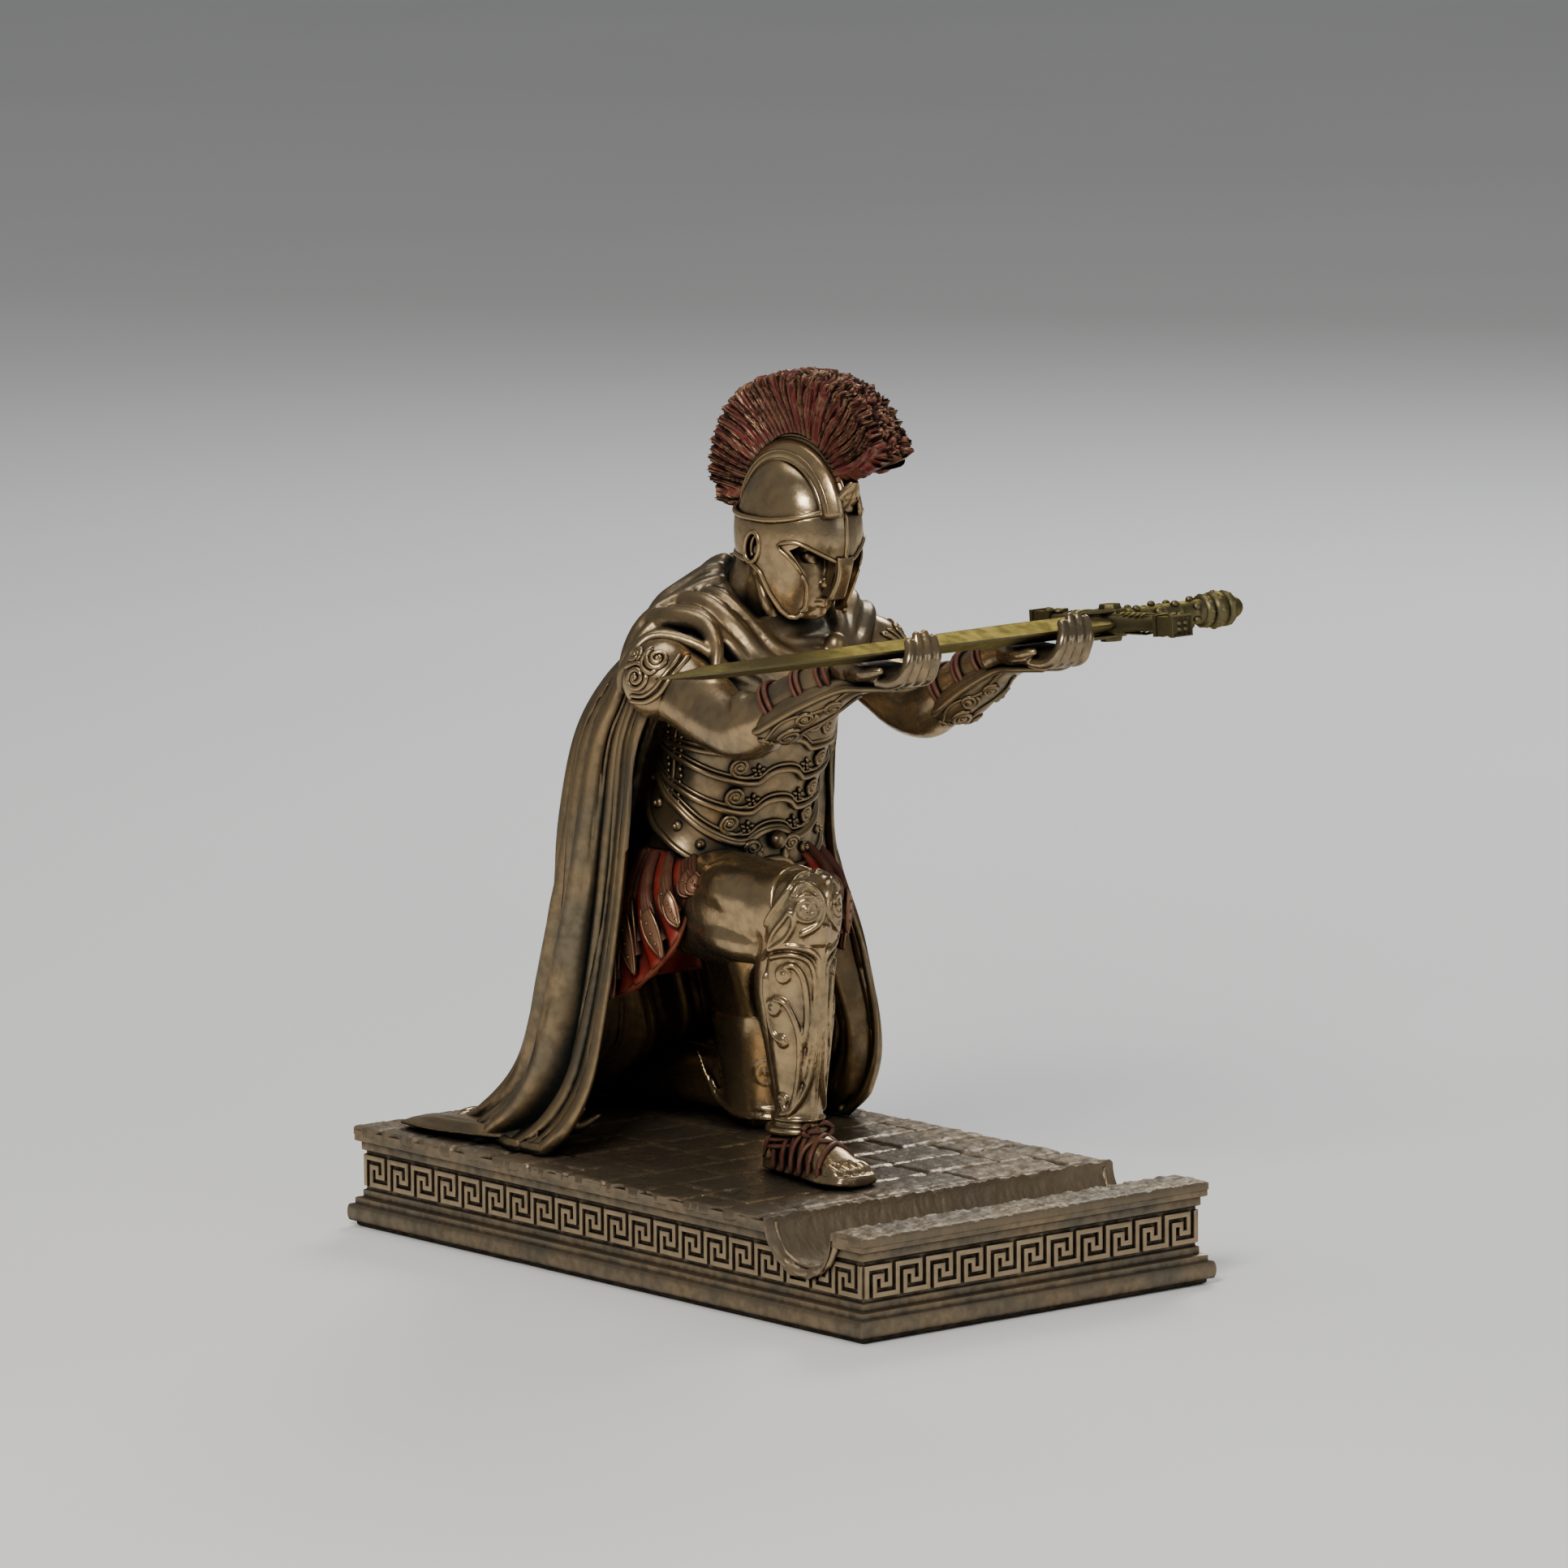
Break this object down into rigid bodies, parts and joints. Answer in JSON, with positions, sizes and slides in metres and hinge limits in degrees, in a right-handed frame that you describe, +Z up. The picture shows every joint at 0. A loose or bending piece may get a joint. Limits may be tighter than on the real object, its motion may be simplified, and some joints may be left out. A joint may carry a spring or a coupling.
{
  "type": "legionary figurine desk pen holder",
  "caption": "Kneeling legionary desk figurine offering a loose sword letter opener, on a paved key-frieze plinth with a pen trough.",
  "frame": {"origin": "centre of the plinth's underside", "axes": "+Z up, the soldier faces -Y with its right hand towards -X; the sword and the pen trough run along X"},
  "size_m": [0.166, 0.181, 0.1987],
  "materials": {
    "bronze": "antique bronze cold cast",
    "stone": "dark bronze stone",
    "sword brass": "antique olive brass"
  },
  "bodies": {
    "root": {"plinth": "stone", "legionary": "bronze", "sword": "sword brass"}
  },
  "joints": []
}
